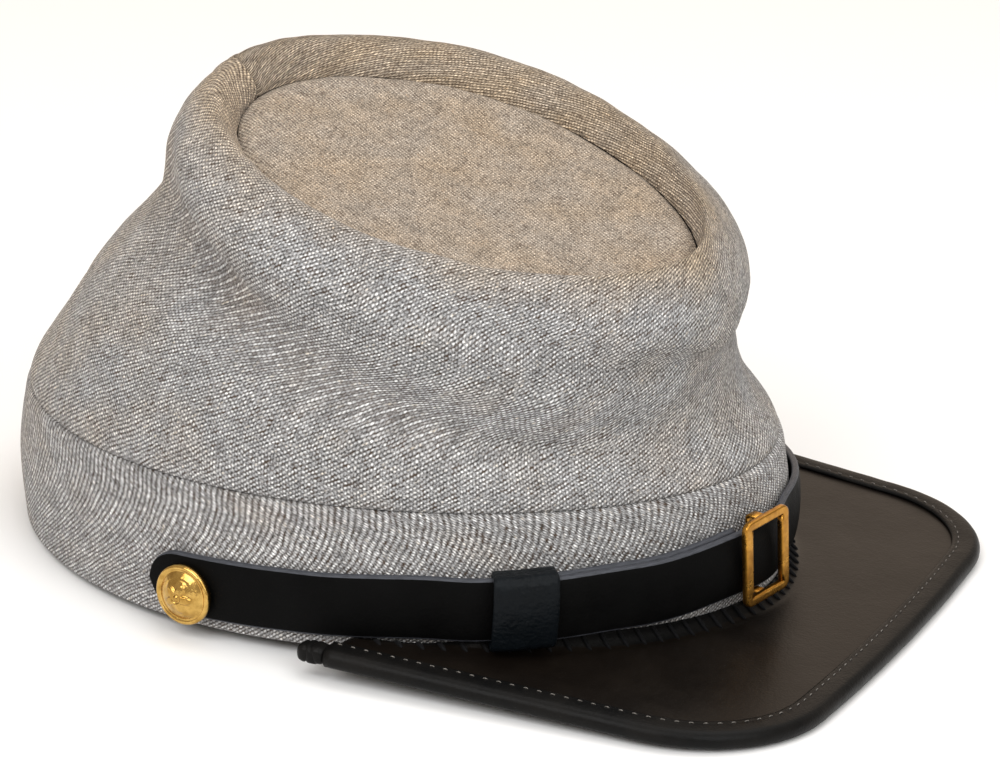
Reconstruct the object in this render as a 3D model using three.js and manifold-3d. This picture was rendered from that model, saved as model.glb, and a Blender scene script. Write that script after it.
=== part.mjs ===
// Kepi cap: a soft cloth crown with a sunken tip, a cloth band, a bound leather visor and a
// buckled leather chin strap on two buttons.
// Millimetres, +Z up, the visor points to -Y and the wearer's right is -X.
import * as THREE from 'three';
import Module from 'manifold-3d';
import { mergeVertices } from 'three/addons/utils/BufferGeometryUtils.js';

const wasm = await Module();
wasm.setup();

const { degToRad, lerp, smoothstep } = THREE.MathUtils;

// ---------------------------------------------------------------- driving dimensions

const GAP = 0.3; // clearance left between neighbouring pieces
const CLOTH = 2.0; // thickness of the crown, tip and band cloth
const PANEL_COLUMNS = 38; // facets round each side panel
const BAND_COLUMNS = 64;

// The cap's outer surface, one row for each level from the hem up over the rim to the tip.
// y, z: the level's centre. length, width: its half sizes front to back and side to side.
// forward, side: its tilt in degrees, down to the front and down to the wearer's right.
// power: its superellipse power. egg: how much wider it is at the back.
const LEVELS = [
  { y: 1.2, z: 0, length: 101.4, width: 84.9, forward: 0, side: 0, power: 1.9, egg: 0.05 }, // hem
  { y: 1.2, z: 18, length: 102.6, width: 85.4, forward: 0.5, side: 0, power: 1.92, egg: 0.05 }, // band
  { y: 1.4, z: 35, length: 99.5, width: 82, forward: 0.6, side: 0, power: 1.95, egg: 0.05 }, // band top
  { y: 0.3, z: 49.5, length: 88.5, width: 80.5, forward: 3.7, side: 0, power: 2, egg: 0.04 },
  { y: -4, z: 62, length: 81.6, width: 77.5, forward: 8.8, side: 1, power: 2, egg: 0.03 },
  { y: -11, z: 74.5, length: 75.5, width: 67.8, forward: 11.6, side: 3.3, power: 2, egg: 0.02 }, // waist
  { y: -14, z: 86.5, length: 75, width: 67, forward: 13.3, side: 3.9, power: 2.12, egg: 0.03 }, // shoulder
  { y: -15, z: 95.5, length: 72.4, width: 62.7, forward: 14, side: 5.4, power: 2, egg: 0.02 },
  { y: -14.5, z: 101, length: 66, width: 55, forward: 13.8, side: 6.5, power: 1.88, egg: 0.05 }, // rim crest
  { y: -16.2, z: 97, length: 63, width: 50, forward: 13.9, side: 6.8, power: 1.9, egg: 0.07 },
  { y: -16.6, z: 92.4, length: 61.4, width: 46.6, forward: 14, side: 7, power: 1.9, egg: 0.08 }, // tip seam
];
const BAND_TOP = 2;
const TIP_SEAM = LEVELS.length - 1;

// Folds of the crown, each along a straight line on the surface from one heading and level to
// another. depth: how far it goes in. width: half its breadth. lift: the swell above it. In order:
// the slouch, the front, the dent over the button, the left side and the back.
const FOLDS = [
  { fromHeading: 140, fromLevel: 5.6, toHeading: 46, toLevel: 3.4, depth: 3.6, width: 10, lift: 2.4 },
  { fromHeading: 62, fromLevel: 6.3, toHeading: 8, toLevel: 4.8, depth: 1.4, width: 8, lift: 0.6 },
  { fromHeading: 112, fromLevel: 3.5, toHeading: 88, toLevel: 3.7, depth: 1.1, width: 9, lift: 0.3 },
  { fromHeading: 222, fromLevel: 5.4, toHeading: 306, toLevel: 3.9, depth: 2.6, width: 10, lift: 1.4 },
  { fromHeading: 198, fromLevel: 4.5, toHeading: 164, toLevel: 4.1, depth: 1.2, width: 9, lift: 0.4 },
];
const MM_PER_DEGREE = 1.35; // size of one degree of heading on the crown
const MM_PER_LEVEL = 12.5; // mean distance between two levels
const FOLD_FADE = 16; // millimetres over which a fold runs out past its ends
const LIFT_AWAY = 1.6; // the swell's distance above the fold, in fold widths

// The visor: a flat leather plate on the outside of the band, bound round its free edge.
const VISOR = {
  thickness: 2,
  front: 138.7, // from the cap's centre to the front of the binding
  frontRadius: 820, // the front edge is a shallow arc
  frontSpan: 3.65, // degrees of that arc on each side of the centre
  cornerRadius: 37,
  sideSpan: 84.3, // degrees from the front to the straight side edge
  sideEnd: -27, // y where the straight side ends
  rootHeading: 72, // heading of the visor's ends on the band
  height: 1.6, // the top face's z at the level point
  levelPoint: -61.6, // y of that point
  slope: 0.064, // rise of the plate to the back
};
const HEM_DIP = { depth: 3.1, start: -52, end: -97 }; // the hem runs down past the visor's root
const BINDING = { leather: 1, reach: 7.4, nose: 2.2 };
const BINDING_END = { length: 7, width: 8.4, height: 5 };

// The chin strap runs in a level ring outside the band. One row for each place along it.
// heading: degrees from the front towards the wearer's right. bottom: z of its lower edge.
// inner: how far the inner layer stands off the band.
const STRAP_PATH = [
  { heading: -106, bottom: 2.8, inner: 0.4 },
  { heading: -75, bottom: 4.1, inner: 0.4 },
  { heading: -45, bottom: 6.2, inner: 0.4 },
  { heading: -8, bottom: 9.2, inner: 0.8 },
  { heading: 14, bottom: 8.3, inner: 1.6 },
  { heading: 34, bottom: 6.4, inner: 2.3 },
  { heading: 56, bottom: 4.9, inner: 2.5 },
  { heading: 64, bottom: 4.6, inner: 0.6 },
  { heading: 80, bottom: 3.7, inner: 0.4 },
  { heading: 106, bottom: 2.8, inner: 0.4 },
];
const STRAP = { width: 16, leather: 2, endHeading: 103.9, tailHeading: 47.5, startHeading: 15.5 };
// span: degrees of heading. bulge: room for the strap's two layers.
const KEEPER = { heading: 50.2, span: 9, leather: 1.2, bulge: 0.4 };
const KEEPER_STOPS = 12; // points round its section
// roll: degrees that the frame is turned up at the front. lift: its height above the strap's middle.
// play: room between the strap and the bar behind it.
const BUCKLE = {
  heading: 11.5, length: 17, height: 22.5, bar: 3.2, thickness: 1.8, corner: 1.6, backBar: 3, play: 0.8,
  roll: 4, lift: 0.8,
};
const BUTTON = { heading: 97.4, radius: 7.6, depth: 4.4, drop: 1.6 }; // drop: below the strap's middle

// The cap rests on the back of its hem and the front of its visor.
const REST_TILT = 1.56;

// ---------------------------------------------------------------- the cap's surface

/** Catmull-Rom interpolation of every column of a table of rows, at row number at. */
function interpolateRows(rows, at) {
  const first = Math.min(Math.floor(at), rows.length - 2);
  const t = at - first;
  const pick = (offset) => rows[THREE.MathUtils.clamp(first + offset, 0, rows.length - 1)];
  const [a, b, c, d] = [pick(-1), pick(0), pick(1), pick(2)];
  const result = {};
  for (const key of Object.keys(b)) {
    const linear = (c[key] - a[key]) * t;
    const square = (2 * a[key] - 5 * b[key] + 4 * c[key] - d[key]) * t * t;
    const cube = (3 * b[key] - a[key] - 3 * c[key] + d[key]) * t ** 3;
    result[key] = b[key] + (linear + square + cube) / 2;
  }
  return result;
}

/** How far the folds move the surface out at a heading in degrees and a level number. */
function foldOffset(heading, level) {
  let total = 0;
  for (const fold of FOLDS) {
    const middle = (fold.fromHeading + fold.toHeading) / 2;
    const nearest = middle - 180 + THREE.MathUtils.euclideanModulo(heading - middle + 180, 360);
    const along = new THREE.Vector2(
      (fold.toHeading - fold.fromHeading) * MM_PER_DEGREE,
      (fold.toLevel - fold.fromLevel) * MM_PER_LEVEL,
    );
    const here = new THREE.Vector2(
      (nearest - fold.fromHeading) * MM_PER_DEGREE,
      (level - fold.fromLevel) * MM_PER_LEVEL,
    );
    const length = along.length();
    const run = here.dot(along) / length;
    const above = Math.sign(along.x) * (along.x * here.y - along.y * here.x) / length;
    const past = Math.max(-run, run - length, 0);
    const fade = Math.exp(-((past / FOLD_FADE) ** 2));
    const groove = Math.exp(-((above / fold.width) ** 2));
    const swell = Math.exp(-((above / fold.width - LIFT_AWAY) ** 2));
    total += fade * (fold.lift * swell - fold.depth * groove);
  }
  return total;
}

/** A point of the cap's outer surface. Heading 0 is the front and 90 the wearer's right. */
function capPoint(heading, level) {
  const row = interpolateRows(LEVELS, level);
  const angle = degToRad(270 - heading);
  const round = (value) => Math.sign(value) * Math.abs(value) ** (2 / row.power);
  const fading = smoothstep(level, BAND_TOP, BAND_TOP + 1) * (1 - smoothstep(level, 7, 8));
  const fold = fading > 0 ? fading * foldOffset(heading, level) : 0;
  const along = (row.length + fold) * round(Math.sin(angle));
  const across = (row.width + fold) * round(Math.cos(angle)) * (1 + (row.egg * along) / row.length);
  const forward = degToRad(row.forward);
  const side = degToRad(row.side);
  return new THREE.Vector3(
    across * Math.cos(side),
    row.y + along * Math.cos(forward),
    row.z + along * Math.sin(forward) + across * Math.sin(side),
  );
}

/** The surface's outward unit normal. */
function capNormal(heading, level) {
  const step = 0.02;
  const low = Math.max(level - step, 0);
  const high = Math.min(level + step, TIP_SEAM);
  const up = capPoint(heading, high).sub(capPoint(heading, low));
  const round = capPoint(heading + step, level).sub(capPoint(heading - step, level));
  return up.cross(round).normalize();
}

/**
 * A point of the cap moved out along the normal, or in where distance is negative. On the band
 * and at the crown's lower edge the move is level, so that the two edges meet flat.
 */
function capOffset(heading, level, distance) {
  const out = capNormal(heading, level);
  out.z *= smoothstep(level, BAND_TOP, BAND_TOP + 1);
  return capPoint(heading, level).addScaledVector(out.normalize(), distance);
}

// ---------------------------------------------------------------- mesh builders

function indexedGeometry(points, triangles) {
  const geometry = new THREE.BufferGeometry();
  geometry.setAttribute('position', new THREE.Float32BufferAttribute(points.flatMap((p) => p.toArray()), 3));
  geometry.setIndex(triangles.flat());
  geometry.computeVertexNormals();
  return geometry;
}

/**
 * A wall between two grids of points. outer(i, j) and inner(i, j) give row i and column j, and
 * the cross product of the row and column directions points out of the outer face.
 */
function wall({ rows, columns, closed = false, outer, inner }) {
  const points = [];
  const perRow = closed ? columns : columns + 1;
  for (const face of [outer, inner]) {
    for (let i = 0; i <= rows; i++) {
      for (let j = 0; j < perRow; j++) points.push(face(i, j));
    }
  }
  const out = (i, j) => i * perRow + (j % perRow);
  const back = (i, j) => out(i, j) + (rows + 1) * perRow;
  const triangles = [];
  const quad = (a, b, c, d) => triangles.push([a, b, c], [a, c, d]);
  for (let i = 0; i < rows; i++) {
    for (let j = 0; j < columns; j++) {
      quad(out(i, j), out(i + 1, j), out(i + 1, j + 1), out(i, j + 1));
      quad(back(i, j), back(i, j + 1), back(i + 1, j + 1), back(i + 1, j));
    }
  }
  for (let j = 0; j < columns; j++) {
    quad(out(0, j), out(0, j + 1), back(0, j + 1), back(0, j));
    quad(out(rows, j), back(rows, j), back(rows, j + 1), out(rows, j + 1));
  }
  if (!closed) {
    for (let i = 0; i < rows; i++) {
      quad(out(i, 0), back(i, 0), back(i + 1, 0), out(i + 1, 0));
      quad(out(i, columns), out(i + 1, columns), back(i + 1, columns), back(i, columns));
    }
  }
  return indexedGeometry(points, triangles);
}

/** A closed section, anticlockwise seen from the path's start, swept along its stations. */
function sweep(section, stations, place) {
  const points = [];
  for (const station of stations) {
    for (const corner of section) points.push(place(station, corner));
  }
  const count = section.length;
  const last = (stations.length - 1) * count;
  const triangles = [];
  for (let s = 0; s < stations.length - 1; s++) {
    for (let k = 0; k < count; k++) {
      const a = s * count + k;
      const b = s * count + ((k + 1) % count);
      triangles.push([a, b, b + count], [a, b + count, a + count]);
    }
  }
  for (const [a, b, c] of THREE.ShapeUtils.triangulateShape(section, [])) {
    triangles.push([a, b, c], [last + c, last + b, last + a]);
  }
  return indexedGeometry(points, triangles);
}

/** One closed solid from two that overlap. */
function join(first, second) {
  const solids = [first, second].map((geometry) => {
    const bare = geometry.clone();
    bare.deleteAttribute('normal');
    bare.deleteAttribute('uv');
    const merged = mergeVertices(bare, 1e-4);
    return new wasm.Manifold(new wasm.Mesh({
      numProp: 3,
      vertProperties: merged.attributes.position.array,
      triVerts: new Uint32Array(merged.index.array),
    }));
  });
  const mesh = solids[0].add(solids[1]).getMesh();
  const geometry = new THREE.BufferGeometry();
  geometry.setAttribute('position', new THREE.BufferAttribute(mesh.vertProperties, 3));
  geometry.setIndex(new THREE.BufferAttribute(mesh.triVerts, 1));
  geometry.computeVertexNormals();
  return geometry;
}

// ---------------------------------------------------------------- cloth pieces

/** Half of the crown's side, from the band up over the rim to the tip, between two headings. */
function sidePanel(fromHeading, toHeading) {
  const seam = GAP / MM_PER_DEGREE;
  // Levels of the facets: close together round the rim, further apart on the wall.
  const levels = [2, 2.5, 3, 3.5, 4, 4.5, 5, 5.5, 6, 6.5, 7, 7.5, 8, 8.5, 9, 9.5, TIP_SEAM];
  levels[0] += GAP / MM_PER_LEVEL;
  const heading = (j) => lerp(fromHeading + seam, toHeading - seam, j / PANEL_COLUMNS);
  return wall({
    rows: levels.length - 1,
    columns: PANEL_COLUMNS,
    outer: (i, j) => capPoint(heading(j), levels[i]),
    inner: (i, j) => capOffset(heading(j), levels[i], -CLOTH),
  });
}

/** The sunken oval tip, a flat disc of cloth inside the foot of the rim. */
function crownTip() {
  const columns = 48;
  const rings = [1, 0.66, 0.33];
  const edge = (j) => capPoint((360 * j) / columns, TIP_SEAM);
  const centre = new THREE.Vector3();
  for (let j = 0; j < columns; j++) centre.addScaledVector(edge(j), 1 / columns);
  const tip = LEVELS[TIP_SEAM];
  const normal = new THREE.Vector3(-Math.tan(degToRad(tip.side)), -Math.tan(degToRad(tip.forward)), 1);
  normal.normalize();
  const points = [];
  for (const height of [CLOTH / 2, -CLOTH / 2]) {
    for (const ring of rings) {
      for (let j = 0; j < columns; j++) {
        const spoke = edge(j).sub(centre);
        const length = (spoke.length() - GAP) * ring;
        const place = centre.clone().addScaledVector(spoke.normalize(), length);
        points.push(place.addScaledVector(normal, height));
      }
    }
    points.push(centre.clone().addScaledVector(normal, height));
  }
  const perFace = rings.length * columns + 1;
  const at = (face, ring, j) => face * perFace + ring * columns + (j % columns);
  const triangles = [];
  for (let j = 0; j < columns; j++) {
    for (let ring = 0; ring < rings.length - 1; ring++) {
      const top = [at(0, ring, j), at(0, ring + 1, j), at(0, ring + 1, j + 1), at(0, ring, j + 1)];
      const under = [at(1, ring, j), at(1, ring, j + 1), at(1, ring + 1, j + 1), at(1, ring + 1, j)];
      for (const [a, b, c, d] of [top, under]) triangles.push([a, b, c], [a, c, d]);
    }
    const inmost = rings.length - 1;
    triangles.push([at(0, inmost, j), perFace - 1, at(0, inmost, j + 1)]);
    triangles.push([at(1, inmost, j), at(1, inmost, j + 1), 2 * perFace - 1]);
    triangles.push([at(0, 0, j), at(0, 0, j + 1), at(1, 0, j + 1)]);
    triangles.push([at(0, 0, j), at(1, 0, j + 1), at(1, 0, j)]);
  }
  return indexedGeometry(points, triangles);
}

/** The band: a ring of cloth whose hem dips at the front, behind the visor's root. */
function clothBand() {
  const levels = [0, 0.7, 1.4, BAND_TOP];
  const heading = (j) => (360 * j) / BAND_COLUMNS;
  const dip = (point, level) => {
    const share = Math.max(1 - level, 0);
    const front = 1 - smoothstep(point.y, HEM_DIP.end, HEM_DIP.start);
    point.z -= share * front * HEM_DIP.depth;
    return point;
  };
  const face = (distance) => (i, j) => dip(capOffset(heading(j), levels[i], distance), levels[i]);
  return wall({
    rows: levels.length - 1,
    columns: BAND_COLUMNS,
    closed: true,
    outer: face(0),
    inner: face(-CLOTH),
  });
}

// ---------------------------------------------------------------- the visor

/** Height of the visor's top face. */
function visorTop(y) {
  return VISOR.height + VISOR.slope * (y - VISOR.levelPoint);
}

/**
 * The visor's outline from the wearer's right end round to the left end, moved in from the
 * binding's outer edge by inset. Each stop has a point in plan and the outward direction there.
 */
function visorOutline(inset, perCorner, perFront, perSide) {
  const half = [];
  const frontSpan = degToRad(VISOR.frontSpan);
  const sideSpan = degToRad(VISOR.sideSpan);
  const frontCentre = new THREE.Vector2(0, -VISOR.front + VISOR.frontRadius);
  const stop = (centre, radius, angle) => {
    const out = new THREE.Vector2(-Math.sin(angle), -Math.cos(angle));
    return { point: centre.clone().addScaledVector(out, radius - inset), out };
  };
  const cornerCentre = frontCentre.clone().addScaledVector(
    new THREE.Vector2(-Math.sin(frontSpan), -Math.cos(frontSpan)),
    VISOR.frontRadius - VISOR.cornerRadius,
  );
  for (let k = 0; k < perFront; k++) {
    half.push(stop(frontCentre, VISOR.frontRadius, (frontSpan * k) / perFront));
  }
  for (let k = 0; k <= perCorner; k++) {
    half.push(stop(cornerCentre, VISOR.cornerRadius, lerp(frontSpan, sideSpan, k / perCorner)));
  }
  const { point: corner, out } = half.at(-1);
  const back = new THREE.Vector2(out.y, -out.x);
  const run = (VISOR.sideEnd - corner.y) / back.y;
  for (let k = 1; k <= perSide; k++) {
    half.push({ point: corner.clone().addScaledVector(back, (run * k) / perSide), out });
  }
  const mirror = ({ point, out: side }) => ({
    point: new THREE.Vector2(-point.x, point.y),
    out: new THREE.Vector2(-side.x, side.y),
  });
  return [...half.slice(1).reverse(), ...half.map(mirror)];
}

const VISOR_STOPS = [9, 5, 4]; // facets of each corner, half of the front, and each side
const PLATE_INSET = BINDING.nose + 0.2;

/** The flat leather plate, ruled from its root on the band to its edge in the binding. */
function visorPlate() {
  const edge = visorOutline(PLATE_INSET, ...VISOR_STOPS);
  const columns = edge.length - 1;
  const rows = 3;
  const root = (j) => {
    const heading = lerp(VISOR.rootHeading, -VISOR.rootHeading, j / columns);
    const point = capOffset(heading, 0.15, 2 * GAP);
    return new THREE.Vector2(point.x, point.y);
  };
  const face = (depth) => (i, j) => {
    const plan = root(j).lerp(edge[j].point, i / rows);
    return new THREE.Vector3(plan.x, plan.y, visorTop(plan.y) - depth);
  };
  return wall({ rows, columns, outer: face(0), inner: face(VISOR.thickness) });
}

/** The binding: a strip of thin leather folded over the plate's edge. */
function visorBinding() {
  const { leather, reach, nose } = BINDING;
  const slot = VISOR.thickness / 2 + GAP;
  const shell = slot + leather;
  const edge = nose - reach;
  // Section: x outwards from the plate's edge, y up from the plate's middle.
  const section = [
    [0.35, -slot], [0.35, slot], [edge, slot], [edge, shell - 0.3], [edge + 0.5, shell],
    [0, shell], [1.4, shell * 0.72], [nose, shell * 0.25],
    [nose, -shell * 0.25], [1.4, -shell * 0.72], [0, -shell],
    [edge + 0.5, -shell], [edge, -shell + 0.3], [edge, -slot],
  ].map(([x, y]) => new THREE.Vector2(x, y));
  return sweep(section, visorOutline(PLATE_INSET, ...VISOR_STOPS), ({ point, out }, corner) => {
    const plan = point.clone().addScaledVector(out, corner.x);
    return new THREE.Vector3(plan.x, plan.y, visorTop(plan.y) - VISOR.thickness / 2 + corner.y);
  });
}

/** The binding's end, folded into a small lump where it meets the band. side is -1 on the right. */
function bindingEnd(side) {
  const { length, width, height } = BINDING_END;
  const bevel = 1.2;
  const shape = new THREE.Shape();
  shape.moveTo(-width / 2 + bevel, -height / 2 + bevel);
  shape.lineTo(width / 2 - bevel, -height / 2 + bevel);
  shape.lineTo(width / 2 - bevel, height / 2 - bevel);
  shape.lineTo(-width / 2 + bevel, height / 2 - bevel);
  const lump = new THREE.ExtrudeGeometry(shape, {
    depth: length - 2 * bevel, bevelSize: bevel, bevelThickness: bevel, bevelSegments: 2, steps: 1,
  });
  lump.translate(0, 0, bevel);
  lump.rotateX(-Math.PI / 2); // the length now runs to the back
  const { point } = visorOutline(BINDING.reach / 2, ...VISOR_STOPS).at(side < 0 ? 0 : -1);
  lump.translate(point.x, point.y + 3 * GAP, visorTop(point.y) - VISOR.thickness / 2);
  return lump;
}

// ---------------------------------------------------------------- the chin strap

/** The strap path's row at a heading, with smooth steps between the table's rows. */
function strapRow(heading) {
  const next = Math.max(STRAP_PATH.findIndex((row) => row.heading >= heading), 1);
  const [a, b] = [STRAP_PATH[next - 1], STRAP_PATH[next]];
  const t = smoothstep(heading, a.heading, b.heading);
  return { bottom: lerp(a.bottom, b.bottom, t), inner: lerp(a.inner, b.inner, t) };
}

/** A point beside the band: its height above the strap's lower edge and its distance out. */
function strapPoint(heading, height, distance) {
  const z = strapRow(heading).bottom + height;
  const level = z / LEVELS[1].z;
  return capOffset(heading, level, distance).setZ(z);
}

/** One layer of the strap between two headings, with a round end where wanted. */
function strapLayer({ from, to, standOff, roundFrom = false, roundTo = false }) {
  const columns = Math.max(8, Math.round(Math.abs(to - from) / 2.6));
  const half = STRAP.width / 2;
  const roundDegrees = 4.6; // the round end's length along the band
  // Columns crowd into the round ends.
  const headings = Array.from({ length: columns + 1 }, (_, j) => lerp(from, to, j / columns));
  const insert = (end, other) => {
    const towards = Math.sign(other - end);
    return [0.03, 0.12, 0.3, 0.6].map((share) => end + towards * roundDegrees * share);
  };
  if (roundFrom) headings.splice(1, 1, ...insert(from, to));
  if (roundTo) headings.splice(-2, 1, ...insert(to, from).reverse());
  const spread = (heading) => {
    const toEnd = Math.min(
      roundFrom ? Math.abs(heading - from) : roundDegrees,
      roundTo ? Math.abs(heading - to) : roundDegrees,
      roundDegrees,
    );
    const away = 1 - toEnd / roundDegrees;
    return Math.max(Math.sqrt(1 - away * away), 0.12);
  };
  const rows = 2;
  const face = (extra) => (i, j) => {
    const heading = headings[j];
    const height = half + (i / rows * 2 - 1) * half * spread(heading);
    return strapPoint(heading, height, standOff(heading) + extra);
  };
  return wall({ rows, columns: headings.length - 1, outer: face(STRAP.leather), inner: face(0) });
}

const innerStandOff = (heading) => strapRow(heading).inner;
const OVERLAP_GAP = 0.4; // between the two layers

/** The outer layer lies on the inner one up to the buckle and comes down to the band past it. */
function outerStandOff(heading) {
  const raised = smoothstep(heading, BUCKLE.heading - 16, BUCKLE.heading - 2);
  return strapRow(heading).inner + raised * (STRAP.leather + OVERLAP_GAP);
}

/** A frame beside the strap's middle, lift above it: x along the band, y up, z out of the band. */
function strapFrame(heading, distance, lift) {
  const height = STRAP.width / 2 + lift;
  const step = 2;
  const origin = strapPoint(heading, height, distance);
  const along = strapPoint(heading - step, height, distance);
  along.sub(strapPoint(heading + step, height, distance)).normalize();
  const up = new THREE.Vector3(0, 0, 1);
  up.addScaledVector(along, -up.dot(along)).normalize();
  return new THREE.Matrix4().makeBasis(along, up, along.clone().cross(up)).setPosition(origin);
}

function roundedRectangle(Path, width, height, corner) {
  const [x, y] = [width / 2, height / 2];
  const path = new Path();
  path.moveTo(-x + corner, -y);
  path.lineTo(x - corner, -y);
  path.absarc(x - corner, -y + corner, corner, -Math.PI / 2, 0, false);
  path.absarc(x - corner, y - corner, corner, 0, Math.PI / 2, false);
  path.absarc(-x + corner, y - corner, corner, Math.PI / 2, Math.PI, false);
  path.absarc(-x + corner, -y + corner, corner, Math.PI, 1.5 * Math.PI, false);
  return path;
}

/** The corners of a round-cornered rectangle, as points anticlockwise from the lower right. */
function rectangleStops(left, right, low, high, corner) {
  const perCorner = 3;
  const centres = [[right, low, -90], [right, high, 0], [left, high, 90], [left, low, 180]];
  return centres.flatMap(([x, y, start]) => Array.from({ length: perCorner }, (_, k) => {
    const angle = degToRad(start + (90 * k) / (perCorner - 1));
    const inward = new THREE.Vector2(Math.sign(left + right - 2 * x), Math.sign(low + high - 2 * y));
    const centre = new THREE.Vector2(x, y).addScaledVector(inward, corner);
    return centre.add(new THREE.Vector2(Math.cos(angle), Math.sin(angle)).multiplyScalar(corner));
  }));
}

/** The leather loop that holds the strap's two layers together. It follows their curve. */
function strapKeeper() {
  const { leather, heading: middle, span } = KEEPER;
  const rows = 3;
  const face = (margin, corner) => (i, j) => {
    const heading = middle + span * (0.5 - i / rows);
    const back = innerStandOff(heading) - margin;
    const front = outerStandOff(heading) + STRAP.leather + KEEPER.bulge + margin;
    const stop = rectangleStops(back, front, -margin, STRAP.width + margin, corner)[j % KEEPER_STOPS];
    return strapPoint(heading, stop.y, stop.x);
  };
  return wall({
    rows, columns: KEEPER_STOPS, closed: true, outer: face(GAP + leather, 1.2), inner: face(GAP, 0.2),
  });
}

/** The brass buckle: a frame over the strap, and a bar behind the strap that carries it. */
function strapBuckle() {
  const { length, height, bar, thickness, corner, backBar } = BUCKLE;
  const outline = roundedRectangle(THREE.Shape, length, height, corner);
  outline.holes.push(roundedRectangle(THREE.Path, length - 2 * bar, height - 2 * bar + 1.2, 0.6));
  const plain = { depth: thickness, bevelEnabled: false, curveSegments: 3 };
  const frame = new THREE.ExtrudeGeometry(outline, plain);
  const behind = outerStandOff(BUCKLE.heading);
  const face = behind + STRAP.leather + 2 * GAP;
  const barBack = thickness / 2;
  const reach = 2 * GAP + STRAP.leather + BUCKLE.play + barBack;
  const leg = (height - STRAP.width) / 2 - 2 * GAP - BUCKLE.lift;
  // The bar's outline seen along the strap: two legs and the bar behind.
  const stirrup = new THREE.Shape();
  stirrup.moveTo(thickness / 2, -height / 2 + 0.6);
  stirrup.lineTo(thickness / 2, -height / 2 + leg);
  stirrup.lineTo(-reach + barBack, -height / 2 + leg);
  stirrup.lineTo(-reach + barBack, height / 2 - leg);
  stirrup.lineTo(thickness / 2, height / 2 - leg);
  stirrup.lineTo(thickness / 2, height / 2 - 0.6);
  stirrup.lineTo(-reach, height / 2 - 0.6);
  stirrup.lineTo(-reach, -height / 2 + 0.6);
  const carrier = new THREE.ExtrudeGeometry(stirrup, { depth: backBar, bevelEnabled: false });
  carrier.translate(0, 0, -backBar / 2);
  carrier.rotateY(-Math.PI / 2);
  const buckle = join(frame, carrier);
  buckle.rotateZ(degToRad(BUCKLE.roll));
  buckle.applyMatrix4(strapFrame(BUCKLE.heading, face, BUCKLE.lift));
  return buckle;
}

/** A domed brass button with a raised rim, standing on the strap's end. */
function button(heading) {
  const { radius, depth, drop } = BUTTON;
  const profile = [
    [0, 0], [radius - 0.8, 0], [radius, 0.7], [radius, 1.7], [radius - 0.6, 2.2], [radius - 1.3, 1.9],
    [radius * 0.7, depth * 0.66], [radius * 0.42, depth * 0.9], [0, depth],
  ].map(([x, y]) => new THREE.Vector2(x, y));
  const dome = new THREE.LatheGeometry(profile, 28);
  dome.rotateX(Math.PI / 2); // the dome faces along z
  dome.applyMatrix4(strapFrame(heading, innerStandOff(heading) + STRAP.leather + GAP, -drop));
  return dome;
}

// ---------------------------------------------------------------- assembly

const cloth = new THREE.MeshStandardMaterial({ color: 0x9a9188, roughness: 0.95, metalness: 0 });
const tipCloth = new THREE.MeshStandardMaterial({ color: 0x978672, roughness: 0.95, metalness: 0 });
const leather = new THREE.MeshStandardMaterial({ color: 0x1b1816, roughness: 0.42, metalness: 0 });
const brass = new THREE.MeshStandardMaterial({ color: 0xc08a2c, roughness: 0.25, metalness: 1 });

const cap = new THREE.Group();
function add(name, geometry, material) {
  const mesh = new THREE.Mesh(geometry, material);
  mesh.name = name;
  cap.add(mesh);
}

add('crown_side_right', sidePanel(0, 180), cloth);
add('crown_side_left', sidePanel(180, 360), cloth);
add('crown_tip', crownTip(), tipCloth);
add('band', clothBand(), cloth);
add('visor', visorPlate(), leather);
add('visor_binding', visorBinding(), leather);
add('binding_end_right', bindingEnd(-1), leather);
add('binding_end_left', bindingEnd(1), leather);
add('strap_right', strapLayer({
  from: STRAP.startHeading, to: STRAP.endHeading, standOff: innerStandOff, roundTo: true,
}), leather);
add('strap_front', strapLayer({
  from: -STRAP.endHeading, to: STRAP.tailHeading, standOff: outerStandOff, roundFrom: true,
}), leather);
add('strap_keeper', strapKeeper(), leather);
add('buckle', strapBuckle(), brass);
add('button_right', button(BUTTON.heading), brass);
add('button_left', button(-BUTTON.heading), brass);

// Tipped back until the hem's back and the visor's front share the ground, and centred on it.
cap.rotation.x = degToRad(-REST_TILT);
const box = new THREE.Box3().setFromObject(cap, true);
cap.position.set(0, -(box.min.y + box.max.y) / 2, -box.min.z);

const part = new THREE.Group();
part.add(cap);

export default part;
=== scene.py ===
import math

import bpy
import numpy as np
from mathutils import Matrix, Vector, noise


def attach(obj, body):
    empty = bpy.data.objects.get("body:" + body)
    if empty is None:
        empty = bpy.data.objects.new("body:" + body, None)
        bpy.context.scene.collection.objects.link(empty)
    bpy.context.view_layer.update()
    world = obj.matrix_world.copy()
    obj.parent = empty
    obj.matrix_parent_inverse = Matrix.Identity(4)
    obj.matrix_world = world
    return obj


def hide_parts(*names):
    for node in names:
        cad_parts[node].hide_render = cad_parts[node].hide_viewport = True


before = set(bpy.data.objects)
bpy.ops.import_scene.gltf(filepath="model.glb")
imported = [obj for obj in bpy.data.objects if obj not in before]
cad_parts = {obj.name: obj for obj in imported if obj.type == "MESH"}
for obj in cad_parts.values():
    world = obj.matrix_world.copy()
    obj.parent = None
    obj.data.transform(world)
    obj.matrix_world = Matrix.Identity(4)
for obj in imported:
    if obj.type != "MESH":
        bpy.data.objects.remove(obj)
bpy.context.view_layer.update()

REST_TILT = math.radians(1.56)
REST_SHIFT = np.array([0.0, 17.272659, 2.793159])
GAP = 0.3
CLOTH = 2.0

# ---- the cap's surface

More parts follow.
